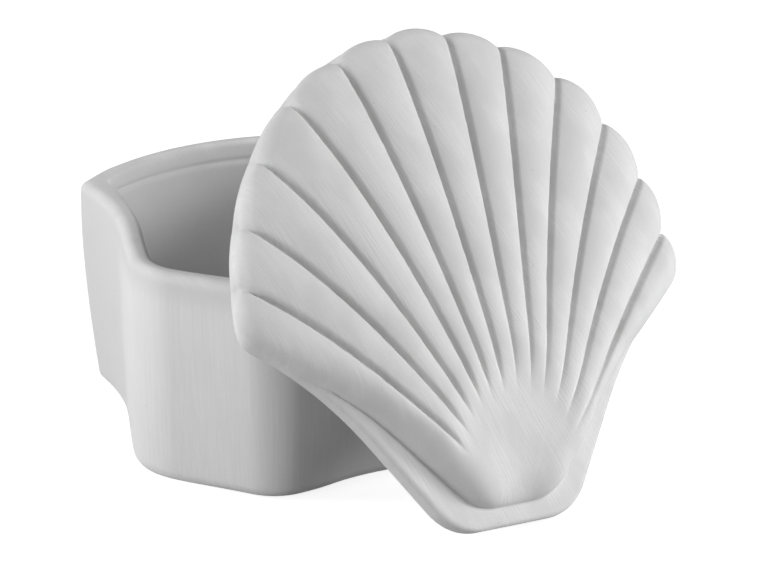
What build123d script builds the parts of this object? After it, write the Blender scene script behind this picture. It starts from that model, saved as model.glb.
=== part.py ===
"""Shell-shaped trinket box: an open tray body and a ribbed scallop lid, two pieces of cast ceramic.

The lid has been lifted off. It stands on its hinge end beside the box and leans back on the rim of
the box's right wing. Millimetres and degrees. The origin is the middle of the box's foot, +Z is up,
and the hinge end faces -Y. Plans are drawn from the hinge end of the lid, which lies at y = 0.
"""

import os
from math import asin, atan2, cos, degrees, hypot, pi, radians, sin, sqrt

from build123d import *

# The plan of the shell, shared by the lid and the box
fan_radius = 70.0          # circle through the notches of the scalloped edge
fan_centre = 60.0          # from the hinge end to the middle of that circle
hinge_half = 11.0          # half of the straight hinge end
corner_radius = 17.0       # rounded corners of the hinge end
flank_turn = 54.5          # direction of the straight flank, from across the shell
flank_length = 24.0
waist_radius = 105.0       # hollow of the flank
waist_turn = 18.0
shoulder_length = 7.6      # straight run that leads into the wing lobe of the lid
mid_length = (fan_centre + fan_radius) / 2

# Ribs of the lid: grooves spread from a pole, given by their angles from the middle
pole = 1.0                                         # from the hinge end to the pole
groove_edge = (4.2, 12.1, 20.9, 29.4, 37.6, 45.0)  # where each groove meets the scalloped edge
groove_root = (3.8, 11.2, 18.3, 26.3, 34.2, 42.4)  # its straight inner run
flare_start = 0.45         # share of the way out at which the grooves begin to flare
flare_power = 1.6
lobe_bulge = 1.6           # lobes of the edge beyond the circle of the notches
wing_stretch = 1.01        # the wing lobes reach a little further

# Face of the lid. The crest runs along the ribs and the valley along the bottoms of the grooves
margin_height = 4.9        # flat margin round the hinge end and the lower flanks
crown_share = 0.36         # share of the way out where the face stands highest
valley_rise = 8.9          # above the margin, at the crown
valley_power = 1.2
valley_root = 0.65
crest_rise = 9.9
crest_power = 1.3
crest_root = 0.42          # a small root rolls the ribs over steeply at the edge
tongue_dip = 50.0          # how fast the face sinks again towards the hinge end
fade_share = 0.24          # the ribs rise out of the smooth tongue from here
flank_roll = 9.0           # width over which the face rolls down to the margin
flank_power = 2.3          # 2 would be a quarter of an ellipse
groove_reach = 0.72        # width of a groove's cut, as a share of the ribs beside it
groove_stations = (1.03, 1.0, 0.985, 0.95, 0.9, 0.82, 0.72, 0.61, 0.5, 0.4, 0.33, 0.28, 0.24, 0.2)

# The step where the face meets the margin, drawn like the outline
tongue_tip = 5.2           # from the hinge end
tongue_half = 6.0
tongue_radius = 15.0
tongue_turn = 47.5
tongue_length = 22.6
tongue_waist = 98.0
tongue_waist_turn = 13.5
margin_round = 1.5

# Box
box_height = 60.2
box_inset = 0.6            # the box stands this much inside the lid's flanks and hinge end
fan_inset = 0.1            # and this much inside its notches
rim_width = 5.8
rebate_depth = 6.2
ledge_width = 1.2
floor_thickness = 6.5
foot_draw = 2.4            # the flanks and hinge end draw in towards the foot
fan_draw = 4.9             # the fan and wings draw in more
draw_power = 1.6
belly_height = 46.0        # the wall is widest here
rim_draw = 0.3
wing_radius = 9.6
inner_wing = 4.0           # no inner corner is tighter than this
rim_round = 2.0
mouth_round = 1.0
foot_round = 3.2
cavity_round = 4.0
cavity_draft = 1.5         # the inside draws in this much from ledge to floor

# Underside of the lid
seat_gap = 0.6             # play of the flange in the box's rebate
ledge_gap = 1.2            # the flange stops this far above the ledge
flange_wall = 4.0
flange_round = 0.8

# How the lid leans
lean_gap = 0.3             # clear of the rim
lid_yaw = -24.8            # the way its face looks, from +X
lid_roll = -6.9            # turn of the lid in its own plane
foot_out = 39.1            # from the middle of the wing's corner out to the lid's foot
foot_side = -36.15         # and along the lid

# The face's own surface goes on below the margin and past the edge, where the outline trims it
face_sink = 1.0
edge_lip = 0.4
flank_samples = 33         # odd, points across the face
length_samples = 41

# One face over the whole shell is too long and bent for a mesh to follow. The finished lid is parted
# along its middle and across its tongue and joined again, which leaves four faces in its place
tongue_line = 14.0


def hinge_and_flank(inset):
    """Right half of the outline, from the middle of the hinge end to the end of the hollow flank."""
    Line((0, inset), (hinge_half, inset))
    corner = JernArc((hinge_half, inset), (1, 0), corner_radius - inset, flank_turn)
    flank = PolarLine(corner @ 1, flank_length, direction=corner % 1)
    return JernArc(flank @ 1, flank % 1, waist_radius + inset, -waist_turn)


def wing_arc(inset, fan):
    """Start, centre, radius and turn of the arc from the flank's direction to the fan of the box."""
    with BuildLine(mode=Mode.PRIVATE):
        waist = hinge_and_flank(inset)
    along = waist % 1
    left = along.rotate(Axis.Z, 90)
    radius = max(wing_radius - inset, inner_wing)
    start = waist @ 1 + left * radius - Vector(0, fan_centre)
    square = start.dot(along) ** 2 - start.dot(start) + (fan_radius - fan - radius) ** 2
    travel = sqrt(square) - start.dot(along)
    centre = start + along * travel
    turn = degrees(atan2(centre.Y, centre.X) - atan2(along.Y, along.X)) + 90
    return waist @ 1 + along * travel, centre + Vector(0, fan_centre), radius, turn


def box_plan(height, inset, fan, back=mid_length):
    """Outline of the box, drawn in from the lid's flanks by inset and from its notches by fan."""
    start, centre, radius, turn = wing_arc(inset, fan)
    with BuildSketch(Plane(origin=(0, -back, height))) as plan:
        with BuildLine():
            waist = hinge_and_flank(inset)
            shoulder = Line(waist @ 1, start)
            wing = JernArc(start, shoulder % 1, radius, turn)
            RadiusArc(wing @ 1, (0, fan_centre + fan_radius - fan), -(fan_radius - fan))
            mirror(about=Plane.YZ)
        make_face()
    return plan.sketch


def on_circle(angle, radius, stretch=1.0):
    """Distance from the pole, at an angle from the middle, to a circle of the fan."""
    across = (sin(radians(angle)) / stretch) ** 2 + cos(radians(angle)) ** 2
    along = (fan_centre - pole) * cos(radians(angle))
    return (along + sqrt(along**2 - across * ((fan_centre - pole) ** 2 - radius**2))) / across


def polar(angle, reach):
    return Vector(reach * sin(radians(angle)), pole + reach * cos(radians(angle)))


def lid_plan():
    """Scalloped outline of the lid: lobes between the notches where the grooves end."""
    tip = fan_radius + lobe_bulge
    with BuildSketch() as plan:
        with BuildLine():
            waist = hinge_and_flank(0)
            shoulder = PolarLine(waist @ 1, shoulder_length, direction=waist % 1)
            notches = [polar(angle, on_circle(angle, fan_radius)) for angle in reversed(groove_edge)]
            TangentArc(shoulder @ 1, notches[0], tangent=shoulder % 1)
            for first, last in zip(notches, notches[1:]):
                outward = ((first + last) / 2 - Vector(0, fan_centre)).normalized()
                ThreePointArc(first, Vector(0, fan_centre) + outward * tip, last)
            mirror(about=Plane.YZ)
            right = notches[-1]
            ThreePointArc(right, (0, fan_centre + tip), (-right.X, right.Y))
        make_face()
    return plan.sketch


def step_line():
    """Right half of the step round the face, from the corner of its straight tip to past the wing."""
    with BuildLine(mode=Mode.PRIVATE) as line:
        corner = JernArc((tongue_half, tongue_tip), (1, 0), tongue_radius, tongue_turn)
        flank = PolarLine(corner @ 1, tongue_length, direction=corner % 1)
        waist = JernArc(flank @ 1, flank % 1, tongue_waist, -tongue_waist_turn)
        start, along = waist @ 1, waist % 1
        base = start - Vector(0, fan_centre)
        reach = (fan_radius + lobe_bulge + edge_lip) * wing_stretch
        travel = sqrt(base.dot(along) ** 2 - base.dot(base) + reach**2) - base.dot(along)
        Line(start, start + along * travel)
    return line.wire()


def clamp(value, low=0.0, high=1.0):
    return min(max(value, low), high)


def valley(share):
    """Height of the groove bottoms, by the share of the way from the pole to the notches."""
    if share < crown_share:
        return margin_height + valley_rise - tongue_dip * (crown_share - share) ** 2
    along = clamp((share - crown_share) / (1 - crown_share))
    return margin_height + valley_rise * (1 - along**valley_power) ** valley_root


def crest(x, y):
    """Height of the rib crests over a point of the plan, before the flanks roll down."""
    angle = degrees(atan2(x, y - pole))
    share = hypot(x, y - pole) / on_circle(angle, fan_radius)
    if share < crown_share:
        fade = clamp((share - fade_share) / (crown_share - fade_share))
        return valley(share) + (crest_rise - valley_rise) * fade * fade * (3 - 2 * fade)
    tip = on_circle(angle, fan_radius + lobe_bulge + edge_lip, wing_stretch)
    tip = tip / on_circle(angle, fan_radius)
    along = clamp((share - crown_share) / (tip - crown_share))
    rise = crest_rise + face_sink
    return margin_height - face_sink + rise * (1 - along**crest_power) ** crest_root


def groove_point(number, share):
    """Point of the plan on a groove, which runs straight and then flares."""
    flare = clamp((share - flare_start) / (1 - flare_start), 0.0, 1.2) ** flare_power
    angle = groove_root[number] + (groove_edge[number] - groove_root[number]) * flare
    return polar(angle, share * on_circle(angle, fan_radius))


def from_line(x, y, line):
    """Shortest distance from a point of the plan to a line through points."""
    nearest = 1e9
    for (ax, ay), (bx, by) in zip(line, line[1:]):
        dx, dy = bx - ax, by - ay
        along = clamp(((x - ax) * dx + (y - ay) * dy) / (dx * dx + dy * dy))
        nearest = min(nearest, hypot(ax + dx * along - x, ay + dy * along - y))
    return nearest


def face_points():
    """Grid of points on the face without its grooves. Rows run from step to step across the shell."""
    step = step_line()
    ends = [step @ ((1 - cos(pi * i / (length_samples - 1))) / 2) for i in range(length_samples)]
    line = [(0.0, tongue_tip)] + [(spot.X, spot.Y) for spot in (step @ (i / 120) for i in range(121))]
    base = margin_height - face_sink
    depth = ends[-1].Y - tongue_tip
    full = fan_centre + fan_radius + lobe_bulge + edge_lip - ends[-1].Y
    half = flank_samples // 2
    rows = []
    for i, end in enumerate(ends):
        # straight at the tongue's tip, and the circle of the fan at the edge
        rise = full * (end.Y - tongue_tip) / depth
        row = []
        for k in range(half + 1):
            across = sin(pi / 2 * k / half)
            if i == 0:
                x, y = end.X * across, end.Y
            else:
                radius = (end.X**2 + rise**2) / (2 * rise)
                turn = 2 * atan2(rise, end.X) * across
                x, y = radius * sin(turn), end.Y + rise - radius * (1 - cos(turn))
            inside = 1 - clamp(from_line(x, y, line) / flank_roll)
            roll = (1 - inside**flank_power) ** (1 / flank_power)
            row.append(Vector(x, y, base + (crest(x, y) - base) * roll))
        rows.append([Vector(-spot.X, spot.Y, spot.Z) for spot in reversed(row[1:])] + row)
    return rows


def lean_pose():
    """Plane of the lid's underside where it leans: its origin is the middle of the lid's hinge end."""
    centre, radius = wing_arc(box_inset + rim_draw, fan_inset + rim_draw)[1:3]
    out = Vector(cos(radians(lid_yaw)), sin(radians(lid_yaw)))
    side = Vector(-out.Y, out.X)
    # the rim's rounded corner is part of a ring, whose nearest point to the lid is on its outer side
    ring = centre + out * (radius - rim_round) + Vector(0, -mid_length, box_height - rim_round)
    foot = centre + out * foot_out + side * foot_side + Vector(0, -mid_length)
    lean = lift = 0.0
    for _ in range(8):
        turned = radians(-lid_roll)
        lift = cos(lean) * (hinge_half * sin(turned) + corner_radius * (1 - cos(turned)))
        across, above = (ring - foot).dot(out), ring.Z - lift
        lean = asin((-lean_gap - rim_round) / hypot(across, above)) - atan2(across, above)
    normal = out * cos(lean) + Vector(0, 0, sin(lean))
    upward = Vector(0, 0, cos(lean)) - out * sin(lean)
    across = side * cos(radians(lid_roll)) + upward * sin(radians(lid_roll))
    return Plane(origin=foot + Vector(0, 0, lift), x_dir=across, z_dir=normal)


def groove_cutter(number):
    """Sharp-bottomed cut along a groove, with flanks that round over like the ribs beside it."""
    inner = groove_root[number - 1] if number else -groove_root[0]
    outer = groove_root[number + 1] if number < 5 else 2 * groove_root[5] - groove_root[4]
    with BuildPart(mode=Mode.PRIVATE) as cutter:
        for share in groove_stations:
            place = groove_point(number, share)
            along = groove_point(number, share + 0.01) - groove_point(number, share - 0.01)
            reach = (place - Vector(0, pole)).length * groove_reach / 2
            right = reach * radians(outer - groove_root[number])
            left = reach * radians(groove_root[number] - inner)
            low, high = valley(share), crest(place.X, place.Y)
            depth = max(high - low, 0.4)
            # at its inner end the cut comes up out of the smooth tongue
            low = max(low, high + (fade_share + 0.03 - share) * 12)
            shoulder = low + 1.02 * depth
            over = low + 2 * crest_rise
            plane = Plane(origin=place, x_dir=along.cross(Vector(0, 0, 1)), z_dir=-along)
            with BuildSketch(plane):
                with BuildLine():
                    ThreePointArc((0, low), (0.49 * right, low + 0.64 * depth), (right, shoulder))
                    Polyline((right, shoulder), (right, over), (-left, over), (-left, shoulder))
                    ThreePointArc((-left, shoulder), (-0.49 * left, low + 0.64 * depth), (0, low))
                make_face()
        loft()
    return cutter.part


with BuildPart() as box:
    for share in (0, 0.25, 0.5, 0.75, 1):
        drawn = (1 - share) ** draw_power
        add(box_plan(share * belly_height, box_inset + foot_draw * drawn, fan_inset + fan_draw * drawn))
    add(box_plan(box_height, box_inset + rim_draw, fan_inset + rim_draw))
    loft()
    fillet(box.faces().sort_by(Axis.Z)[0].edges(), foot_round)
    ledge = box_height - rebate_depth
    lower = box_inset + rim_width + ledge_width
    lower_fan = fan_inset + rim_width + ledge_width
    add(box_plan(floor_thickness, lower + cavity_draft, lower_fan + cavity_draft))
    add(box_plan(ledge, lower, lower_fan))
    loft(mode=Mode.SUBTRACT)
    inside = box.faces().filter_by(Axis.Z).sort_by(Axis.Z)[1]
    fillet(inside.edges(), cavity_round)
    add(box_plan(ledge, box_inset + rim_width, fan_inset + rim_width))
    extrude(amount=rebate_depth, mode=Mode.SUBTRACT)
    rim = box.faces().sort_by(Axis.Z)[-1]
    fillet(rim.inner_wires()[0].edges(), mouth_round)
    rim = box.faces().sort_by(Axis.Z)[-1]
    fillet(rim.outer_wire().edges(), rim_round)

# The lid is made face up in its own frame, with its underside at z = 0
surface = Face.make_surface_from_array_of_points(face_points(), tol=0.01)
under_face = Solid.extrude(surface, Vector(0, 0, -2 * (margin_height + crest_rise)))
cutters = [groove_cutter(number) for number in range(len(groove_root))]

with BuildPart() as face:
    add(lid_plan())
    extrude(amount=margin_height + crest_rise)
    add(under_face, mode=Mode.INTERSECT)

with BuildPart() as shell:
    # the margin's plate goes on past the scallops, so that only its flanks are rounded
    add(box_plan(0, 0, -4 * lobe_bulge, back=0))
    extrude(amount=margin_height)
    fillet(shell.faces().sort_by(Axis.Z)[-1].edges(), margin_round)
    add(lid_plan())
    extrude(amount=margin_height + crest_rise, mode=Mode.INTERSECT)
    add(face.part)
    for cutter in cutters:
        add(cutter, mode=Mode.SUBTRACT)
        mirror(cutter, about=Plane.YZ, mode=Mode.SUBTRACT)
    with BuildSketch():
        drawn = rim_width + seat_gap
        add(box_plan(0, box_inset + drawn, fan_inset + drawn, back=0))
        drawn += flange_wall
        add(box_plan(0, box_inset + drawn, fan_inset + drawn, back=0), mode=Mode.SUBTRACT)
    extrude(amount=ledge_gap - rebate_depth)
    fillet(shell.faces().sort_by(Axis.Z)[0].edges(), flange_round)

with BuildPart() as quarters:
    add(shell.part)
    split(bisect_by=Plane.YZ, keep=Keep.BOTH)
    split(bisect_by=Plane.XZ.offset(-tongue_line), keep=Keep.BOTH)

with BuildPart() as lid:
    add([quarter.moved(lean_pose().location) for quarter in quarters.solids()], clean=False)

box.part.label = "box"
lid.part.label = "lid"
os.makedirs("parts", exist_ok=True)
export_step(box.part, "parts/box.step")
export_step(lid.part, "parts/lid.step")
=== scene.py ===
"""Looks of the shell-shaped trinket box: bisque surfaces for the tray and its leaning scallop lid.

Shapes are worked out in millimetres in a plan whose y runs from the hinge end (0) to the fan (about
130), and are put into the part's frame in metres at the end. Angles in the plan are in degrees.
"""

import bpy
import numpy as np
from mathutils import Matrix, Vector


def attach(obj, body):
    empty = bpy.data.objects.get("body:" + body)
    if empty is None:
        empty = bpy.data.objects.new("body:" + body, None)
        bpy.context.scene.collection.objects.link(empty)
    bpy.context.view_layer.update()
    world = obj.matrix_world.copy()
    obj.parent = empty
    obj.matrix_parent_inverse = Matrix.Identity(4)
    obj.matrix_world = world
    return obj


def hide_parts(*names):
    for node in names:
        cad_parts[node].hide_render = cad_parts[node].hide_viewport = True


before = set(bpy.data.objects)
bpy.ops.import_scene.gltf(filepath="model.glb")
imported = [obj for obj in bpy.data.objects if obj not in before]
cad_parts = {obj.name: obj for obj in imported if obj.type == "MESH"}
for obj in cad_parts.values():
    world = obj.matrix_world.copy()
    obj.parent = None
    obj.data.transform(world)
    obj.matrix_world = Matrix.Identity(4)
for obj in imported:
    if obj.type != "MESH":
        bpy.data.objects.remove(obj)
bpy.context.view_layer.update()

# The plan of the shell, from the hinge end over the flank, the waist and the shoulder to the fan, and
# the place of the part's origin in it
FAN_RADIUS, FAN_CENTRE = 70.0, 60.0
HINGE_HALF, CORNER_RADIUS = 11.0, 17.0
FLANK_TURN, FLANK_LENGTH = 54.5, 24.0
WAIST_RADIUS, WAIST_TURN = 105.0, 18.0
SHOULDER_HEADING, SHOULDER_LENGTH = FLANK_TURN - WAIST_TURN, 7.6
MID_LENGTH = 65.0

# The lid's grooves: the place on the middle line that they spread from, the angle of each from that
# line where it starts and where it ends in a notch, and how far the lobes stand out between the notches
POLE = 1.0
GROOVE_ROOT = np.array([3.8, 11.2, 18.3, 26.3, 34.2, 42.4])
GROOVE_EDGE = np.array([4.2, 12.1, 20.9, 29.4, 37.6, 45.0])
LOBE_BULGE = 1.6

# Half the width of a groove's sharp cut, and how far its nicks go sideways and up
CUT_HALF, NICK_ASIDE, NICK_RISE = 1.15, 0.035, 0.1

# How much further the cast edge reaches than its even plan, at the notches and at the lobes, from the
# middle to the side, and the rough distance of the edge from the pole that makes it a share. The halves
# share their middle lobe and their last notch
RIGHT_REACH = (np.array([0.3, 0.55, 0.9, 1.0, 0.9, 0.0]), np.array([0.7, 0.45, 1.15, 2.1, 1.4, 0.7]))
LEFT_REACH = (np.array([0.3, 0.0, 0.2, 0.1, 0.0, 0.0]), np.array([0.7, 0.1, 0.4, 0.3, 0.1, 0.0]))
POLE_TO_EDGE = 120.0

# The lid's two halves: side, seed of the nicks, reach of the edge, and the share of the way out up to
# which the grooves' cut grows
LID_HALVES = ((1, 3, RIGHT_REACH, 0.62), (-1, 8, LEFT_REACH, 0.32))

# Heights of the lid's face: its margin, the rise of valleys and crests above it, and how far below the
# margin and beyond the edge the curve of the crests ends. Then the shares of the way out where the face
# is highest and where the ribs have faded into the tongue
MARGIN, VALLEY_RISE, CREST_RISE = 4.9, 8.9, 9.9
SINK, LIP = 1.0, 0.4
CROWN, FADE = 0.36, 0.24

# The step between face and margin: its tip, corner, side, waist and the last run that leaves the edge
STEP_START, STEP_TIP = 5.2, 6.0
STEP_CORNER, STEP_TURN, STEP_SIDE = 15.0, 47.5, 22.6
STEP_WAIST, STEP_WAIST_TURN = 98.0, 13.5
STEP_LAST, STEP_LAST_POINTS = 30.0, 60
STEP_GAP = 0.2

# The face beside the step: the width of its rise, the power of that curve and the share it starts at
RISE_WIDTH, RISE_POWER, RISE_START = 8.7, 2.3, 0.985

# Grid of half a face: its rows, crowded where the tongue and the edge bend most, the columns of each
# rib, and the degrees over which the last rib rises from its groove
FACE_ROWS = 226
ROW_PLACES = (0, 0.05, 0.14, 0.3, 0.86, 0.95, 1)
ROW_SHARES = (0, 0.008, 0.06, 0.22, 0.935, 0.988, 1)
RIB_COLUMNS = (11, 22, 22, 22, 22, 22, 30)
SIDE_RIB = 4.1

# The lid's edge: the widest roll at its top and the rounding at its foot. Its flange: the play in the
# box's rebate, thickness, depth and rounding
EDGE_ROLL, EDGE_FOOT = 2.8, 0.6
FLANGE_PLAY, FLANGE_THICK, FLANGE_DEEP, FLANGE_ROUND = 0.6, 4.0, 5.0, 0.8
UNDERSIDE_MIDDLE = (0, 66)

# Where the lid's own frame stands: the middle of its hinge end, and its across, along and out axes
LID_FOOT = np.array([81.2157, -52.8555, 1.2798])
LID_ACROSS = np.array([0.4670022, 0.8778278, -0.1064299])
LID_ALONG = np.array([-0.3676456, 0.3022178, 0.8794891])
LID_OUT = np.array([0.8042050, -0.3715949, 0.4638659])

# The box: its height, the height at which it is widest, its wall, and how far it is drawn in there from
# the lid's flanks and notches. Its roundings at the foot and at the rim's two edges, the radius of its
# wings in plan (outside, at least, and inside), and how far from the middle its left wing may reach
BOX_HEIGHT, BELLY_HEIGHT, WALL = 60.2, 46.0, 5.8
BOX_DRAWN = np.array([0.6, 0.1])
FOOT_ROUND, RIM_OUTSIDE, RIM_INSIDE = 3.2, 2.8, 1.5
WING_OUTSIDE, WING_LEAST, WING_INSIDE = 9.6, 5.5, 7.0
LEFT_LIMIT = 69.98

# The box's inside: a soft scored cove at the end of the rebate, as how far it is drawn in and its
# height, then a wall that thickens and leans in to the floor
COVE = ((0, 57.6), (0, 56.6), (0, 55.8), (-0.1, 55.3), (-0.3, 54.9), (-0.44, 54.5),
        (-0.4, 54.15), (-0.2, 53.85), (0.05, 53.6), (0.22, 53.2), (0.3, 52.6))
THICKENING, LEAN = 1.2, 1.5
FLOOR_LEVEL, FLOOR_ROUND = 6.5, 4.0

# How far the cast box stands out from its even plan, at stations along its length from the hinge end:
# its left side at the foot and the rim, and its right side at the foot
LEFT_STATIONS = (0, 2.8, 4.0, 9.7, 20.7, 32.0, 38.0, 43.4, 47.0, 50.0, 54.0, 57.0, 60.0, 66.0, 72.0)
LEFT_FOOT = (0.0, 0.2, 1.4, 4.3, 3.8, 3.0, 2.3, 1.9, 1.6, 1.5, 1.3, 1.3, 1.0, 0.4, 0.0)
LEFT_RIM = (0.0, 0.1, 0.6, 2.0, 2.0, 1.8, 1.7, 1.6, 1.5, 1.6, 1.8, 1.8, 1.3, 0.5, 0.0)
RIGHT_STATIONS = (0, 2.8, 4.0, 9.0, 12.7, 16.7, 20.2, 24.0, 28.0, 40.0)
RIGHT_FOOT = (0.6, 0.7, 1.5, 1.6, 1.5, 1.0, 0.0, -0.5, -0.7, 0.0)

# The camera, from a fit of the outlines: degrees round and above, the photograph's width and its focal
# length in pixels with the sensor's width in millimetres, and how many millimetres it stands to the
# right, up and ahead from the middle of the hinge end
AZIMUTH, ELEVATION = 25.3, 20.99
PHOTO_WIDTH, FOCAL_PIXELS, SENSOR = 760, 3148.2, 36
CAMERA_RIGHT, CAMERA_UP, CAMERA_AHEAD = 45.57, 56.14, -837.84

# Soft lamps: degrees round to the right from the camera, degrees above the floor, metres away, metres
# across and watts. Then the point in the part's frame that they look at, and half the floor's side
LAMPS = (
    ("upper right", 55, 42, 1.3, 0.45, 4.7),
    ("right", 90, 11, 1.3, 0.45, 9.8),
    ("low right", 60, 5, 0.5, 0.2, 0.58),
    ("low left", 300, 5, 0.5, 0.2, 0.6),
    ("left", 300, 15, 1.3, 0.45, 4.1),
    ("upper left", 270, 35, 1.3, 0.45, 7.6),
    ("upper back", 180, 55, 1.3, 0.45, 1.2),
)
LAMP_TARGET = np.array([0.05, -0.02, 0.05])
FLOOR_HALF = 3.0


def arc(start, heading, radius, turn, count):
    """Points along an arc from start that sets off at heading and turns left by turn, in degrees.

    The centre lies one radius to the left of the start, or to the right where the turn is negative.
    """
    side = np.sign(turn)
    first = np.radians(heading)
    angles = first + np.radians(np.linspace(0, turn, count))
    centre = np.array(start) + side * radius * np.array([-np.sin(first), np.cos(first)])
    return centre + side * radius * np.stack([np.sin(angles), -np.cos(angles)], 1)


def run(start, heading, length, count):
    """Points along a straight run: the start plus even lengths of the heading's direction."""
    way = np.array([np.cos(np.radians(heading)), np.sin(np.radians(heading))])
    return np.array(start) + np.linspace(0, length, count)[:, None] * way


def flank(inset, counts):
    """Right half of the outline from the middle of the hinge end to the end of its hollow flank:
    a straight hinge end, a rounded corner, a straight flank and a hollow arc, moved in by inset."""
    hinge = run((0, inset), 0, HINGE_HALF, counts[0])
    corner = arc(hinge[-1], 0, CORNER_RADIUS - inset, FLANK_TURN, counts[1])
    straight = run(corner[-1], FLANK_TURN, FLANK_LENGTH, counts[2])
    waist = arc(straight[-1], FLANK_TURN, WAIST_RADIUS + inset, -WAIST_TURN, counts[3])
    return np.concatenate([hinge, corner[1:], straight[1:], waist[1:]])


def through(first, middle, last, count):
    """Points along the circle's arc through three points. The circle's centre is where the
    perpendicular bisectors of the two chords to the last point meet."""
    ax, ay = first - last
    bx, by = middle - last
    cross = 2 * (ax * by - ay * bx)
    aa, bb = ax * ax + ay * ay, bx * bx + by * by
    centre = last + np.array([by * aa - ay * bb, ax * bb - bx * aa]) / cross
    one, two = first - centre, last - centre
    begin = np.arctan2(one[1], one[0])
    sweep = (np.arctan2(two[1], two[0]) - begin) % (2 * np.pi)
    angles = begin + np.linspace(0, sweep, count)
    return centre + np.hypot(*one) * np.stack([np.cos(angles), np.sin(angles)], 1)


def fan_distance(degrees, radius, stretch=1.0):
    """Distance from the pole to a circle of the fan, widened by stretch, along a ray at an angle
    from the middle: the positive root of the quadratic for the ray's meeting with the circle."""
    angle = np.radians(degrees)
    across = (np.sin(angle) / stretch) ** 2 + np.cos(angle) ** 2
    along = (FAN_CENTRE - POLE) * np.cos(angle)
    return (along + np.sqrt(along**2 - across * ((FAN_CENTRE - POLE) ** 2 - radius**2))) / across


def place(degrees, share):
    """Plan point at an angle from the middle and a share of the way from the pole to the notches."""
    reach = share * fan_distance(degrees, FAN_RADIUS)
    angle = np.radians(degrees)
    return np.stack([reach * np.sin(angle), POLE + reach * np.cos(angle)], -1)


def ray(points):
    """Angle and share of plan points, the inverse of place."""
    degrees = np.degrees(np.arctan2(points[..., 0], points[..., 1] - POLE))
    reach = np.hypot(points[..., 0], points[..., 1] - POLE)
    return degrees, reach / fan_distance(degrees, FAN_RADIUS)


def lid_outline(reach):
    """Right half of the lid's scalloped outline, from the hinge end over the wing to the middle lobe.
    Each lobe is a three-point arc between two notches of the circle, and the wing lobe is an arc that
    leaves the straight shoulder smoothly."""
    side = flank(0, (12, 30, 20, 40))
    shoulder = run(side[-1], SHOULDER_HEADING, SHOULDER_LENGTH, 10)
    notches = place(GROOVE_EDGE[::-1], 1 + reach[0][::-1] / POLE_TO_EDGE)
    chord = notches[0] - shoulder[-1]
    turn = 2 * (np.degrees(np.arctan2(chord[1], chord[0])) - SHOULDER_HEADING)
    radius = np.hypot(*chord) / (2 * np.sin(np.radians(turn / 2)))
    wing = arc(shoulder[-1], SHOULDER_HEADING, radius, turn, 40)
    parts = [side, shoulder[1:], wing[1:]]
    ends = list(notches) + [notches[-1] * (-1, 1)]
    centre = np.array([0, FAN_CENTRE])
    for first, last, more in zip(ends, ends[1:], reach[1][::-1]):
        outward = (first + last) / 2 - centre
        tip = centre + outward / np.hypot(*outward) * (FAN_RADIUS + LOBE_BULGE + more)
        parts.append(through(first, tip, last, 41)[1:])
    outline = np.concatenate(parts)
    return outline[outline[:, 0] > -1e-6]


def step_line():
    """Right half of the step between the face and the margin: the tongue's straight tip, its rounded
    corner, a straight run, a hollow arc and a straight run that leaves the outline at the wing."""
    tip = run((0, STEP_START), 0, STEP_TIP, 160)
    corner = arc(tip[-1], 0, STEP_CORNER, STEP_TURN, 90)
    side = run(corner[-1], STEP_TURN, STEP_SIDE, 30)
    waist = arc(side[-1], STEP_TURN, STEP_WAIST, -STEP_WAIST_TURN, 30)
    last = run(waist[-1], STEP_TURN - STEP_WAIST_TURN, STEP_LAST, STEP_LAST_POINTS)
    return np.concatenate([tip, corner[1:], side[1:], waist[1:], last[1:]])


def lengths(points):
    """Length along a line of points, up to each point: the running sum of its steps."""
    steps = np.hypot(*np.diff(points, axis=0).T)
    return np.concatenate([[0], np.cumsum(steps)])


def resample(points, where):
    """Points at given lengths along a line of points, on its straight pieces."""
    along = lengths(points)
    return np.stack([np.interp(where, along, points[:, k]) for k in range(2)], 1)


def distance_to(points, line):
    """Shortest distance from plan points to a line of points, over all of its straight pieces."""
    flat = points.reshape(-1, 2)
    best = np.full(len(flat), 1e9)
    for first, last in zip(line, line[1:]):
        way = last - first
        along = np.clip((flat - first) @ way / (way @ way), 0, 1)
        best = np.minimum(best, np.hypot(*(flat - first - along[:, None] * way).T))
    return best.reshape(points.shape[:-1])


def smooth(value, low, high):
    """0 below low, 1 above high and a smooth step between them."""
    t = np.clip((value - low) / (high - low), 0, 1)
    return t * t * (3 - 2 * t)


def valley_height(share):
    """Height of the groove bottoms: it dips as a square behind the crown, and before the edge it
    falls as a power law that steepens to the edge."""
    along = np.clip((share - CROWN) / (1 - CROWN), 0, 1)
    front = MARGIN + VALLEY_RISE * (1 - along**1.2) ** 0.65
    back = MARGIN + VALLEY_RISE - 50.0 * np.clip(CROWN - share, 0, 1) ** 2
    return np.where(share < CROWN, back, front)


def crest_height(degrees, share):
    """Height of the rib crests, which rise out of the smooth tongue and roll over at the edge."""
    tip = fan_distance(degrees, FAN_RADIUS + LOBE_BULGE + LIP, 1.01) / fan_distance(degrees, FAN_RADIUS)
    along = np.clip((share - CROWN) / (tip - CROWN), 0, 1)
    front = MARGIN - SINK + (CREST_RISE + SINK) * (1 - along**1.3) ** 0.42
    back = valley_height(share) + smooth(share, FADE, CROWN)
    return np.where(share < CROWN, back, front)


def groove_degrees(number, share):
    """Angle of a groove: straight from the pole, then flaring as a power of the way out."""
    flare = np.clip((share - 0.45) / 0.55, 0, 1.1) ** 1.6
    return GROOVE_ROOT[number] + (GROOVE_EDGE[number] - GROOVE_ROOT[number]) * flare


def edge_drop(points, gap):
    """How far the lid's upper edge has rolled down at a gap from its outline: an elliptic quarter
    that ends upright, tight round the hinge end and the flanks and broader round the fan."""
    fan = smooth(points[..., 1], 28, 54)
    reach, fall = 1.5 + 1.3 * fan, 1.5 + 0.75 * fan
    return fall * (1 - np.sqrt(1 - np.clip(1 - gap / reach, 0, 1) ** 2))


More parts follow.
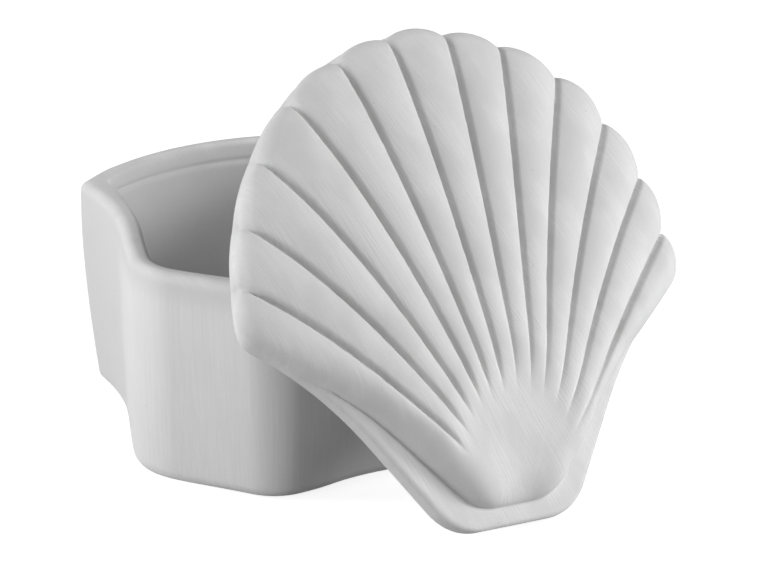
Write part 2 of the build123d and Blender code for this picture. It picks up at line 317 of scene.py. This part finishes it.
def ragged(generator, shape, share):
    """Sparse nicks and crumbs along the grooves: cubes of seeded random numbers, evened out over three
    rows, that fade away towards the smooth tongue and the edge."""
    steps = generator.normal(size=(shape[0] + 2, shape[1])) ** 3 / 4
    even = (steps[:-2] + 2 * steps[1:-1] + steps[2:]) / 2.45
    return np.clip(even, -2.2, 2.2) * smooth(share, 0.3, 0.6) * (1 - smooth(share, 0.97, 1.0))


def side_line(outline, step):
    """The line that the face's rows end on: the step, up to where its last run crosses the outline, then
    the outline up to the angle at which the wing is widest. Also given are the numbers of the outline's
    points at the crossing, which is over 50 mm from the middle, and at the wing, at most 60 on."""
    start = step[-STEP_LAST_POINTS]
    way = (step[-1] - start) / np.hypot(*(step[-1] - start))
    off = (outline[:, 1] - start[1]) * way[0] - (outline[:, 0] - start[0]) * way[1]
    crossing = np.nonzero((outline[:, 0] > 50) & (off > 0))[0][0]
    degrees, _ = ray(outline)
    wing = crossing + np.argmax(degrees[crossing:crossing + 60])
    kept = step[step[:, 0] < outline[crossing, 0] - STEP_GAP]
    return np.concatenate([kept, outline[crossing:wing + 1]]), crossing, wing


def crowded(t, curved, straight):
    """Steps that crowd towards their ends at -1 and 1: a share of a sine and a share of a straight line."""
    return np.sin(np.pi / 2 * t) * curved + t * straight


def rib_columns(ends):
    """Angles of the face's columns and how far each lies from its rib's crest (0) to a groove (1), from
    the angles of the lines that the ribs end on. The middle rib is half a rib, and the last one rises
    from its groove over SIDE_RIB degrees and is a crest from there to the side."""
    columns, across = [], []
    for number, count in enumerate(RIB_COLUMNS):
        first, last = ends[:, number:number + 1], ends[:, number + 1:number + 2]
        t = np.linspace(0, 1, count + 1)[min(number, 1):]
        if number == 0:
            from_crest = crowded(t, 0.6, 0.4)
            spot = from_crest
        elif number < len(RIB_COLUMNS) - 1:
            from_crest = crowded(2 * t - 1, 0.6, 0.4)
            spot = (from_crest + 1) / 2
        else:
            spot = crowded(t, 0.8, 0.2)
            from_crest = np.clip(1 - (last - first) * spot / SIDE_RIB, 0, 1)
        columns.append(first + (last - first) * spot)
        across.append(np.abs(from_crest) * np.ones((len(ends), 1)))
    return np.concatenate(columns, 1), np.concatenate(across, 1)


def rib_height(angle, share, across, grooves, nick, reach, softened):
    """Height of the ribs, from crest to valley as the square of the way across plus a sharp cut beside
    each groove, a power of the distance to it that grows with the way out, plus the nicks' rise, which
    fades from the groove as a bell curve. The uneven edge stretches the valleys and crests with it."""
    lobes = (GROOVE_EDGE + np.concatenate([-GROOVE_EDGE[:1], GROOVE_EDGE[:-1]])) / 2
    stations = np.stack([lobes, GROOVE_EDGE], 1).ravel()
    more = np.interp(angle, stations, np.stack(reach[::-1], 1).ravel())
    even = share / (1 + more / POLE_TO_EDGE)
    low, high = valley_height(even), crest_height(angle, even)
    apart = np.abs(angle[:, :, None] - grooves[:, None])
    near = np.radians(apart.min(2)) * share * fan_distance(angle, FAN_RADIUS)
    cut = np.clip(1 - near / CUT_HALF, 0, 1) ** 1.6 * smooth(share, 0.2, softened)
    height = high - (high - low) * (0.8 * across**2 + 0.9 * cut)
    rough = np.take_along_axis(nick, apart.argmin(2), 1)
    return height + NICK_RISE * rough * np.exp(-((1 - across) / 0.1) ** 2)


def step_rise(gap):
    """Share of its height above the margin that the face has at a gap from the step: a quarter of a
    superellipse that starts just short of upright."""

    def curve(inside):
        return (1 - inside**RISE_POWER) ** (1 / RISE_POWER)

    low = curve(RISE_START)
    return (curve(RISE_START * (1 - np.clip(gap / RISE_WIDTH, 0, 1))) - low) / (1 - low)


def face_sheet(seed, reach, softened):
    """Right half of the lid's face as grids of plan points and heights.

    Rows are curves at one share of the way from the pole, from the middle to the side; the last one
    is the scalloped edge. Columns follow the grooves, so that each groove is a sharp line. Also given
    are the outline up to its crossing with the step, and the number of the first row that ends on the
    outline itself."""
    outline, step = lid_outline(reach), step_line()
    side, crossing, wing = side_line(outline, step)
    side_degrees, side_share = ray(side)
    rim_degrees, rim_share = ray(outline[wing:][::-1])
    rise = np.interp(np.linspace(0, 1, FACE_ROWS), ROW_PLACES, ROW_SHARES)
    shares = (side_share[0] + (side_share[-1] - side_share[0]) * rise)[:, None]
    edge_degrees = np.interp(shares, side_share, side_degrees)

    def bent(angle):
        """Shares of points of the rows, which bend from circles to the scalloped edge."""
        out = np.interp(angle, rim_degrees, rim_share) / side_share[-1]
        return shares * (1 + (out - 1) * smooth(rise, 0.7, 1.0)[:, None])

    # the grooves draw together towards the pole with the side, and follow the bent rows
    before_widest = shares < shares[np.argmax(edge_degrees)]
    fit = np.where(before_widest, edge_degrees / edge_degrees.max(), 1)
    share = shares
    for _ in range(4):
        grooves = groove_degrees(np.arange(len(GROOVE_EDGE)), share) * fit
        share = bent(grooves)
    generator = np.random.default_rng(seed)
    away = share * fan_distance(grooves, FAN_RADIUS)
    grooves = grooves + np.degrees(NICK_ASIDE * ragged(generator, grooves.shape, share) / away)
    nick = ragged(generator, grooves.shape, share)

    angle, across = rib_columns(np.concatenate([np.zeros_like(shares), grooves, edge_degrees], 1))
    share = bent(angle)
    points = place(angle, share)
    height = rib_height(angle, share, across, grooves, nick, reach, softened)
    height = MARGIN + np.maximum(height - MARGIN, 0) * step_rise(distance_to(points, step))
    height -= edge_drop(points, distance_to(points, outline))
    own = int(np.nonzero(points[:, -1, 0] > outline[crossing, 0] - STEP_GAP)[0][0])
    return points, height, outline[:crossing + 1], own


def rows_to_faces(rows, columns, closed=False):
    """Quads of a grid of vertices, as an array of four numbers each. Rows wrap round if closed."""
    grid = np.arange(rows * columns).reshape(rows, columns)
    if closed:
        grid = np.concatenate([grid, grid[:, :1]], 1)
    quads = [grid[:-1, :-1], grid[:-1, 1:], grid[1:, 1:], grid[1:, :-1]]
    return np.stack([q.ravel() for q in quads], 1)


class Surface:
    """Collects grids of points and closes them into one mesh."""

    def __init__(self):
        self.points, self.faces, self.count = [], [], 0

    def grid(self, points, closed=False, flip=False):
        """Adds a grid of points, row by row, with its faces towards its front, or its back if flipped."""
        rows, columns = points.shape[:2]
        quads = rows_to_faces(rows, columns, closed) + self.count
        self.points.append(points.reshape(-1, 3))
        self.faces.append(quads[:, ::-1] if flip else quads)
        self.count += rows * columns

    def build(self, name, body):
        """Makes the object: joins points that meet within a micrometre, drops faces with no area, and
        hangs it on its body in place of the body's node."""
        points = np.concatenate(self.points) / 1000
        keys = np.round(points * 1e6).astype(np.int64)
        _, first, which = np.unique(keys, axis=0, return_index=True, return_inverse=True)
        points = points[first]
        a, b, c, d = which.reshape(-1)[np.concatenate(self.faces)].T
        triangles = np.concatenate([np.stack([a, b, c], 1), np.stack([a, c, d], 1)])
        a, b, c = triangles.T
        triangles = triangles[(a != b) & (b != c) & (c != a)]
        mesh = bpy.data.meshes.new(name)
        mesh.vertices.add(len(points))
        mesh.vertices.foreach_set("co", points.astype(np.float32).ravel())
        mesh.loops.add(triangles.size)
        mesh.loops.foreach_set("vertex_index", triangles.astype(np.int32).ravel())
        mesh.polygons.add(len(triangles))
        mesh.polygons.foreach_set("loop_start", np.arange(0, triangles.size, 3, dtype=np.int32))
        mesh.update(calc_edges=True)
        mesh.validate()
        mesh.polygons.foreach_set("use_smooth", np.ones(len(mesh.polygons), bool))
        obj = bpy.data.objects.new(name, mesh)
        bpy.context.scene.collection.objects.link(obj)
        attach(obj, body)
        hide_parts(body)
        return obj


def to_lid(points, height):
    """Points of the part's frame from the lid's plan points and heights, with the lid leaning."""
    across, along = points[..., 0:1], points[..., 1:2]
    return LID_FOOT + across * LID_ACROSS + along * LID_ALONG + height[..., None] * LID_OUT


def scallop_fade(rim):
    """How far each point of the edge moves towards or away from the fan's centre by the time that the
    side wall reaches the underside. There the lobes are under a fifth as deep, and their notches are
    rounded by a running mean over a few degrees."""
    faded_radius, depth_left = 71.0, 0.18
    out = rim - (0, FAN_CENTRE)
    radius = np.hypot(*out.T)
    turn = np.degrees(np.arctan2(out[:, 0], out[:, 1]))
    even = np.linspace(-100, 100, 4001)
    known = np.interp(np.abs(even), turn[::-1], radius[::-1])
    window = np.hanning(55)
    rounded = np.convolve(known, window / window.sum(), "same")
    low = faded_radius + depth_left * (np.interp(turn, even, rounded) - faded_radius)
    move = np.where(turn < 99, low - radius, 0) * smooth(-turn, -98, -86)
    return out / np.maximum(radius, 1e-9)[:, None] * move[:, None]


def both_halves(right, left=None):
    """A loop from the right half's line of points, from the middle of the hinge end to the middle of
    the fan, and the left half's, which is the same where none is given."""
    other = (right if left is None else left)[1:-1][::-1] * np.array([-1, 1])
    return np.concatenate([right, other])


def outward_normals(loop, reach=1):
    """Unit normals of a closed loop of plan points, pointing out, from the direction between the points
    that lie reach places before and after."""
    way = np.roll(loop, -reach, 0) - np.roll(loop, reach, 0)
    way /= np.maximum(np.hypot(*way.T), 1e-9)[:, None]
    return np.stack([way[:, 1], -way[:, 0]], 1)


def box_half(inset, fan, counts=(14, 26, 16, 30, 8, 24, 122)):
    """Right half of the box's outline, drawn in from the lid's flanks by inset and from its notches
    by fan: the flank, a straight shoulder, a wing arc that touches both, and the fan's circle."""
    side = flank(inset, counts[:4])
    along = np.array([np.cos(np.radians(SHOULDER_HEADING)), np.sin(np.radians(SHOULDER_HEADING))])
    left = np.array([-along[1], along[0]])
    radius = max(WING_OUTSIDE - inset, WING_LEAST) if inset < WALL else WING_INSIDE
    base = side[-1] + left * radius - (0, FAN_CENTRE)
    reach = FAN_RADIUS - fan - radius
    travel = np.sqrt((base @ along) ** 2 - base @ base + reach**2) - base @ along
    centre = base + along * travel
    shoulder = run(side[-1], SHOULDER_HEADING, travel, counts[4])
    turn = np.degrees(np.arctan2(centre[1], centre[0])) + 90 - SHOULDER_HEADING
    wing = arc(shoulder[-1], SHOULDER_HEADING, radius, turn, counts[5])
    heading = SHOULDER_HEADING + turn
    round_fan = arc(wing[-1], heading, FAN_RADIUS - fan, 180 - heading, counts[6])
    return np.concatenate([side, shoulder[1:], wing[1:], round_fan[1:]])


def eased(where, stations, amounts):
    """Amounts between stations: straight lines, evened out by a running mean 8 mm wide."""
    even = np.arange(-20, 160, 0.25)
    window = np.hanning(35)
    table = np.convolve(np.interp(even, stations, amounts), window / window.sum(), "same")
    return np.interp(where, even, table)


def uneven(loop, height, fan):
    """How far the cast box stands out from its even plan, point by point, at a height.

    Its left flank swells towards the foot, its left wing is squarer than the arc, though not on loops
    that are drawn in from the fan by over 5 mm, and its right flank is a little flatter. Amounts at the
    foot and the rim are mixed by height, and the two sides by a smooth step over the middle."""
    along = loop[:, 1] + MID_LENGTH
    share = np.clip(height / BOX_HEIGHT, 0, 1)
    left = eased(along, LEFT_STATIONS, LEFT_FOOT) * (1 - share)
    left += eased(along, LEFT_STATIONS, LEFT_RIM) * share
    if fan > 5:
        left = left * (1 - smooth(along, 42, 56))
    right = eased(along, RIGHT_STATIONS, RIGHT_FOOT) * (1 - share)
    side = smooth(loop[:, 0], -9, 9)
    return left * (1 - side) + right * side


def box_outside(height):
    """How far the box's outside is drawn in from the lid's flanks and notches at a height: more towards
    the foot, as a power of the way down from the belly, and a little towards the rim, as a square."""
    down = max(1 - height / BELLY_HEIGHT, 0) ** 1.6
    up = max((height - BELLY_HEIGHT) / (BOX_HEIGHT - BELLY_HEIGHT), 0) ** 2
    return BOX_DRAWN + np.array([2.4, 4.9]) * down + 0.3 * up


def wall_section():
    """The section of the box's wall, from the middle of the foot up the outside, over the rim, down the
    rebate and the inside to the middle of the floor. Each row has how far its loop is drawn in from the
    lid's flanks and notches, its height, and its size, which is under 1 only on the foot and floor.
    Roundings are quarters of circles."""
    to_middle = (0.97, 0.85, 0.6, 0.3, 0.0)
    rows = [(box_outside(0) + FOOT_ROUND, 0.0, size) for size in to_middle[::-1] + (1.0,)]
    for angle in np.radians(np.linspace(10, 90, 9)):
        height = FOOT_ROUND * (1 - np.cos(angle))
        rows.append((box_outside(height) + FOOT_ROUND * (1 - np.sin(angle)), height, 1.0))
    for height in np.linspace(5, 56.5, 27):
        rows.append((box_outside(height), height, 1.0))
    for angle in np.radians(np.linspace(0, 90, 10)):
        height = BOX_HEIGHT - RIM_OUTSIDE + RIM_OUTSIDE * np.sin(angle)
        rows.append((box_outside(height) + RIM_OUTSIDE * (1 - np.cos(angle)), height, 1.0))
    inside = BOX_DRAWN + WALL
    for angle in np.radians(np.linspace(0, 90, 9)):
        height = BOX_HEIGHT - RIM_INSIDE + RIM_INSIDE * np.cos(angle)
        rows.append((inside - RIM_INSIDE * (1 - np.sin(angle)), height, 1.0))
    for drawn, height in COVE:
        rows.append((inside + drawn, height, 1.0))
    for height in np.linspace(51, 11, 18):
        drawn = THICKENING * smooth(-height, -52.6, -38.0) + LEAN * (54.0 - height) / 47.5
        rows.append((inside + drawn, height, 1.0))
    for angle in np.radians(np.linspace(0, 90, 9)):
        drawn = THICKENING + LEAN + FLOOR_ROUND * (1 - np.cos(angle))
        rows.append((inside + drawn, FLOOR_LEVEL + FLOOR_ROUND * (1 - np.sin(angle)), 1.0))
    floor = inside + THICKENING + LEAN + FLOOR_ROUND
    return rows + [(floor, FLOOR_LEVEL, size) for size in to_middle]


def box_loop(drawn, height, size):
    """One loop of the box: its outline, drawn in and made uneven. A soft limit, half of the sum of the
    room left and a hyperbola of it, keeps the left wing inside the solid."""
    inset, fan = drawn
    loop = both_halves(box_half(inset, fan)) - (0, MID_LENGTH)
    loop = loop + outward_normals(loop) * uneven(loop, height, fan)[:, None]
    room = loop[:, 0] + LEFT_LIMIT - fan
    loop[:, 0] = fan - LEFT_LIMIT + (room + np.sqrt(room**2 + 0.06)) / 2
    return np.concatenate([loop * size, np.full((len(loop), 1), height)], 1)


def tray():
    """The box: loops of its outline carried along the section of its wall."""
    surface = Surface()
    surface.grid(np.stack([box_loop(*row) for row in wall_section()]), closed=True)
    return surface.build("box_bisque", "box")


def lid_half(seed, reach, softened):
    """One half of the lid: its face, and the lines of its margin, rolled edge and side wall, with the
    height of each point. The wall draws in to the faded scallops as a smooth step, and a quarter of a
    circle rounds its foot."""
    points, height, margin_line, own = face_sheet(seed, reach, softened)

    # the face's border from the tip of the tongue to the middle lobe, and the outline beside it
    border = np.concatenate([points[:, -1], points[-1, -2::-1]])
    level = np.concatenate([height[:, -1], height[-1, -2::-1]])
    rim = border.copy()
    fine = resample(margin_line, np.linspace(0, lengths(margin_line)[-1], 4000))
    near = ((border[:own, None] - fine[None, ::4]) ** 2).sum(2).argmin(1) * 4
    near = np.maximum.accumulate(near)
    near[0] = 0
    rim[:own] = fine[near]
    wide = np.hypot(*(rim - border).T)
    rolled = np.minimum(EDGE_ROLL, wide)
    inward = (border - rim) / np.maximum(wide, 1e-9)[:, None]

    lines, levels = [border], [level]
    for part in (0.3, 0.6, 0.85, 1.0):
        lines.append(border + (rim + inward * rolled[:, None] - border) * part)
    for part in (0.8, 0.62, 0.46, 0.33, 0.22, 0.13, 0.07, 0.025, 0.0):
        lines.append(rim + inward * (rolled * part)[:, None])
    for line in lines[1:]:
        flat = MARGIN - edge_drop(rim, np.hypot(*(line - rim).T))
        levels.append(np.where(wide > 0.02, flat, level))
    top = levels[-1]
    shift = scallop_fade(rim)
    outward = outward_normals(both_halves(rim), 6)[:len(rim)]
    for part in (0.15, 0.3, 0.45, 0.6, 0.75, 0.9, 1.0):
        levels.append(top + (EDGE_FOOT - top) * part)
        lines.append(rim + shift * smooth(part, 0.0, 1.0))
    for angle in np.radians(np.linspace(18, 90, 5)):
        lines.append(rim + shift - outward * EDGE_FOOT * (1 - np.cos(angle)))
        levels.append(np.full(len(rim), EDGE_FOOT * (1 - np.sin(angle))))
    lines, levels = np.stack(lines), np.stack(levels)
    lines[:, [0, -1], 0] = 0
    return points, height, lines, levels


def lid():
    """The lid: both halves of its face, edge and side wall, and the flat underside with the flange
    that drops into the box's rebate."""
    surface = Surface()
    ends = []
    for side, seed, reach, softened in LID_HALVES:
        points, height, lines, levels = lid_half(seed, reach, softened)
        mirror = np.array([side, 1])
        surface.grid(to_lid(points * mirror, height), flip=side < 0)
        surface.grid(to_lid(lines * mirror, levels), flip=side > 0)
        ends.append(lines[-1])

    # the underside is a set of loops with the same number of points as the edge's last line
    loops = [both_halves(*ends)]
    heights = [0.0]

    def flange(drawn, level):
        """Adds a loop of the box's outline drawn in by drawn, with points spaced as on the edge."""
        half = box_half(*(BOX_DRAWN + drawn), (30, 60, 40, 80, 20, 40, 400))
        whole = lengths(half)[-1]
        halves = [resample(half, lengths(end) / lengths(end)[-1] * whole) for end in ends]
        loops.append(both_halves(*halves))
        heights.append(level)

    outer = WALL + FLANGE_PLAY
    bend = FLANGE_ROUND - FLANGE_DEEP
    for level in (0.0, -1.5, -3.0, bend):
        flange(outer, level)
    for angle in np.radians(np.linspace(15, 90, 5)):
        flange(outer + FLANGE_ROUND * (1 - np.cos(angle)), bend - FLANGE_ROUND * np.sin(angle))
    for angle in np.radians(np.linspace(90, 0, 6)):
        flange(outer + FLANGE_THICK - FLANGE_ROUND * (1 - np.cos(angle)),
               bend - FLANGE_ROUND * np.sin(angle))
    for level in (-2.5, -1.0, 0.0):
        flange(outer + FLANGE_THICK, level)
    inner = loops[-1] - UNDERSIDE_MIDDLE
    for size in (0.8, 0.4, 0.0):
        loops.append(inner * size + UNDERSIDE_MIDDLE)
        heights.append(0.0)
    loops = np.stack(loops)
    heights = np.array(heights)[:, None] * np.ones(loops.shape[1])
    surface.grid(to_lid(loops, heights), closed=True, flip=True)
    return surface.build("lid_bisque", "lid")


def pattern(tree, kind, axes, sizes, detail=None):
    """A texture on Object coordinates, turned to three axes and stretched to a size in metres on each."""
    where = tree.nodes.new("ShaderNodeTexCoord")
    turn = tree.nodes.new("ShaderNodeMapping")
    turn.vector_type = "TEXTURE"
    turn.inputs["Rotation"].default_value = Matrix(axes).transposed().to_euler()
    turn.inputs["Scale"].default_value = sizes
    texture = tree.nodes.new(kind)
    texture.inputs["Scale"].default_value = 1.0
    if detail is not None:
        texture.inputs["Detail"].default_value = detail
    tree.links.new(where.outputs["Object"], turn.inputs["Vector"])
    tree.links.new(turn.outputs["Vector"], texture.inputs["Vector"])
    return texture


def sum_of(tree, parts, base):
    """Adds shares of signals to a base value: base + share * (signal - middle) for each."""
    total = None
    for socket, middle, share in parts:
        step = tree.nodes.new("ShaderNodeMath")
        step.operation = "MULTIPLY_ADD"
        tree.links.new(socket, step.inputs[0])
        step.inputs[1].default_value = share
        if total is None:
            step.inputs[2].default_value = base - sum(part[1] * part[2] for part in parts)
        else:
            tree.links.new(total, step.inputs[2])
        total = step.outputs[0]
    return total


def ranged(tree, socket, low, high, start=0.0, end=1.0):
    """Takes a signal from low..high to start..end with a smooth step and holds it there."""
    step = tree.nodes.new("ShaderNodeMapRange")
    step.interpolation_type = "SMOOTHSTEP"
    tree.links.new(socket, step.inputs["Value"])
    for name, value in (("From Min", low), ("From Max", high), ("To Min", start), ("To Max", end)):
        step.inputs[name].default_value = value
    return step.outputs["Result"]


def paired(tree, operation, one, two):
    """Two signals put together by one operation: MULTIPLY for their product, MAXIMUM for the larger."""
    step = tree.nodes.new("ShaderNodeMath")
    step.operation = operation
    tree.links.new(one, step.inputs[0])
    tree.links.new(two, step.inputs[1])
    return step.outputs[0]


def bisque(name, base, axes, long_stroke, wipe):
    """Unglazed white ceramic, matte: faint clouding and grain, fine sponge strokes that run along the
    second axis in patches and are raised a little, and dark pin-holes at the spots of a cell pattern.
    With wipe, the strokes keep to the rim, and the hinge end has upright streaks that fade away before
    the wings and below the rim."""
    material = bpy.data.materials.new(name)
    material.use_nodes = True
    tree = material.node_tree
    shader = tree.nodes["Principled BSDF"]
    noise = "ShaderNodeTexNoise"
    strokes = pattern(tree, noise, axes, (0.00042, long_stroke, 0.004), 2.0)
    patches = pattern(tree, noise, axes, (0.011, 0.019, 0.015))
    clouds = pattern(tree, noise, axes, (0.013, 0.013, 0.013), 3.0)
    grain = pattern(tree, noise, axes, (0.0004, 0.0004, 0.0004), 1.0)
    cells = pattern(tree, "ShaderNodeTexVoronoi", axes, (0.0075, 0.0075, 0.0075))
    pits = ranged(tree, cells.outputs["Distance"], 0.01, 0.036, 1.0, 0.0)
    worked = ranged(tree, patches.outputs["Fac"], 0.34, 0.6)
    marks = paired(tree, "MULTIPLY", strokes.outputs["Fac"], worked)
    tones = [(clouds.outputs["Fac"], 0.5, 0.03), (grain.outputs["Fac"], 0.5, 0.05), (pits, 0.0, -0.16)]
    relief = [(grain.outputs["Fac"], 0.5, 0.2), (pits, 0.0, -0.6)]
    if wipe:
        upright = ((1, 0, 0), (0, 1, 0), (0, 0, 1))
        streaks = pattern(tree, noise, upright, (0.0006, 0.0006, 0.04), 3.0)
        where = tree.nodes.new("ShaderNodeTexCoord")
        split = tree.nodes.new("ShaderNodeSeparateXYZ")
        tree.links.new(where.outputs["Object"], split.inputs[0])
        front = ranged(tree, split.outputs["Y"], -0.05, -0.032, 1.0, 0.0)
        below_rim = ranged(tree, split.outputs["Z"], 0.05, 0.057, 1.0, 0.0)
        on_rim = ranged(tree, split.outputs["Z"], 0.056, 0.0595)
        wiped = paired(tree, "MULTIPLY", paired(tree, "MULTIPLY", streaks.outputs["Fac"], front), below_rim)
        tones.append((wiped, 0.4, 0.11))
        marks = paired(tree, "MULTIPLY", marks, on_rim)
    tones.append((marks, 0.25, 0.1))
    relief.append((marks, 0.25, 0.8))
    tree.links.new(sum_of(tree, tones, base), shader.inputs["Base Color"])
    bump = tree.nodes.new("ShaderNodeBump")
    bump.inputs["Strength"].default_value = 1.0
    bump.inputs["Distance"].default_value = 0.00014
    tree.links.new(sum_of(tree, relief, 0.0), bump.inputs["Height"])
    tree.links.new(bump.outputs["Normal"], shader.inputs["Normal"])
    shader.inputs["Roughness"].default_value = 0.75
    shader.inputs["Specular IOR Level"].default_value = 0.25
    return material


def look_rotation(direction):
    """Euler angles that turn an object's -Z to a direction, with its Y as near to up as can be."""
    return Vector(direction).to_track_quat("-Z", "Y").to_euler()


def lamp(name, around, above, away, size, power):
    """A round soft lamp that looks at the lid. Its place is given from the camera's own direction by
    degrees round to the right, degrees above the floor and metres away."""
    data = bpy.data.lights.new(name, "AREA")
    data.shape = "DISK"
    data.size = size
    data.energy = power
    light = bpy.data.objects.new(name, data)
    bpy.context.scene.collection.objects.link(light)
    turn, rise = np.radians(around - 90 + AZIMUTH), np.radians(above)
    direction = np.array([np.cos(turn) * np.cos(rise), np.sin(turn) * np.cos(rise), np.sin(rise)])
    light.location = LAMP_TARGET + away * direction
    light.rotation_euler = look_rotation(-direction)


def photo_camera():
    """The camera at the photograph's place: a long lens that looks down at the box from its front
    left. Its angles, distance and lens are from the fit of the outlines."""
    azimuth, elevation = np.radians(AZIMUTH), np.radians(ELEVATION)
    right = np.array([np.cos(azimuth), np.sin(azimuth), 0])
    ahead = np.array([-np.sin(azimuth) * np.cos(elevation), np.cos(azimuth) * np.cos(elevation),
                      -np.sin(elevation)])
    up = np.cross(right, ahead)
    spot = CAMERA_RIGHT * right + CAMERA_UP * up + CAMERA_AHEAD * ahead - np.array([0, MID_LENGTH, 0])
    data = bpy.data.cameras.new("camera")
    data.sensor_width = SENSOR
    data.lens = FOCAL_PIXELS * SENSOR / PHOTO_WIDTH
    camera = bpy.data.objects.new("camera", data)
    bpy.context.scene.collection.objects.link(camera)
    camera.location = spot / 1000
    camera.rotation_euler = look_rotation(ahead)
    bpy.context.scene.camera = camera


def seen_directly(tree, socket, straight, otherwise):
    """Sets a strength to one value where the camera sees it straight or in a shiny or clear surface,
    and to another for the light that it casts: otherwise + (straight - otherwise) * any of the three
    kinds of ray."""
    path = tree.nodes.new("ShaderNodeLightPath")
    seen = paired(tree, "MAXIMUM", path.outputs["Is Camera Ray"], path.outputs["Is Glossy Ray"])
    seen = paired(tree, "MAXIMUM", seen, path.outputs["Is Transmission Ray"])
    mix = tree.nodes.new("ShaderNodeMath")
    mix.operation = "MULTIPLY_ADD"
    tree.links.new(seen, mix.inputs[0])
    mix.inputs[1].default_value = straight - otherwise
    mix.inputs[2].default_value = otherwise
    tree.links.new(mix.outputs[0], socket)


def studio():
    """A pale floor, a world that shows white to the camera, and soft lights."""
    mesh = bpy.data.meshes.new("floor")
    corners = [(x * FLOOR_HALF, y * FLOOR_HALF, 0) for x, y in ((-1, -1), (1, -1), (1, 1), (-1, 1))]
    mesh.from_pydata(corners, [], [(0, 1, 2, 3)])
    floor = bpy.data.objects.new("floor", mesh)
    bpy.context.scene.collection.objects.link(floor)
    material = bpy.data.materials.new("white floor")
    material.use_nodes = True
    tree = material.node_tree
    shader = tree.nodes["Principled BSDF"]
    shader.inputs["Base Color"].default_value = (0.4, 0.4, 0.4, 1)
    shader.inputs["Roughness"].default_value = 0.9
    shader.inputs["Specular IOR Level"].default_value = 0.0
    shader.inputs["Emission Color"].default_value = (1, 1, 1, 1)
    seen_directly(tree, shader.inputs["Emission Strength"], 0.82, 0.0)
    floor.data.materials.append(material)

    world = bpy.data.worlds.new("studio")
    bpy.context.scene.world = world
    world.use_nodes = True
    background = world.node_tree.nodes["Background"]
    background.inputs["Color"].default_value = (1, 1, 1, 1)
    seen_directly(world.node_tree, background.inputs["Strength"], 1.0, 0.09)
    for row in LAMPS:
        lamp(*row)


box = tray()
cover = lid()
# The sponge was drawn down the lid from its upper left to its lower right, and the box in the same sweep
along_stroke = 0.41 * LID_ACROSS - 0.912 * LID_ALONG
beside_stroke = 0.912 * LID_ACROSS + 0.41 * LID_ALONG
stroke_axes = (tuple(beside_stroke), tuple(along_stroke), tuple(np.cross(beside_stroke, along_stroke)))
box.data.materials.append(bisque("bisque box", 0.67, stroke_axes, 0.012, True))
cover.data.materials.append(bisque("bisque lid", 0.62, stroke_axes, 0.014, False))
studio()
photo_camera()
bpy.context.scene.view_settings.view_transform = "Standard"
